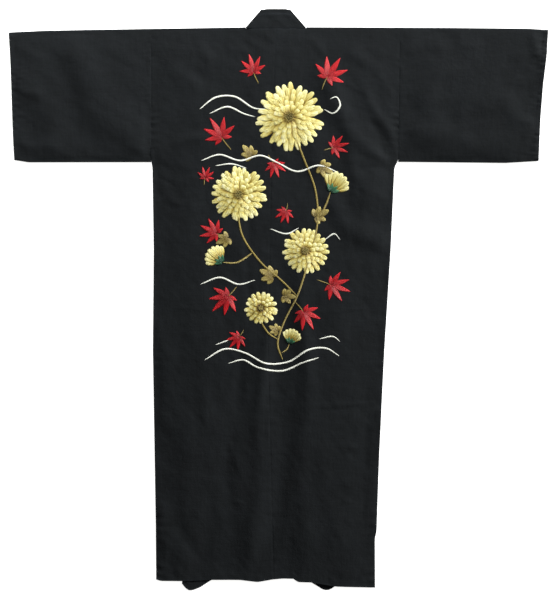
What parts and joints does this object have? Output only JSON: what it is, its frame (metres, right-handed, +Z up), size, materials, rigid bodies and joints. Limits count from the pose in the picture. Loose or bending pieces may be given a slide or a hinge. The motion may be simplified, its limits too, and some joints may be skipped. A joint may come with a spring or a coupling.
{
  "type": "kimono",
  "caption": "Kimono robe laid flat on its front, back up: a T shape with wide straight sleeves, a folded collar band and front panels that lap.",
  "frame": {"origin": "centre of the bounding box in plan, on the surface that the garment lies on", "axes": "+Z up from the surface, +Y from the hem towards the collar, +X towards the wearer's right cuff"},
  "size_m": [1.284, 1.383, 0.0077],
  "materials": {
    "black_cotton": "black plain-weave cotton, matt, with satin-stitch embroidery on the back"
  },
  "bodies": {
    "root": {"body_left": "black_cotton", "body_right": "black_cotton", "overlap_left": "black_cotton", "overlap_right": "black_cotton", "sleeve_left": "black_cotton", "sleeve_right": "black_cotton", "collar": "black_cotton"}
  },
  "joints": []
}
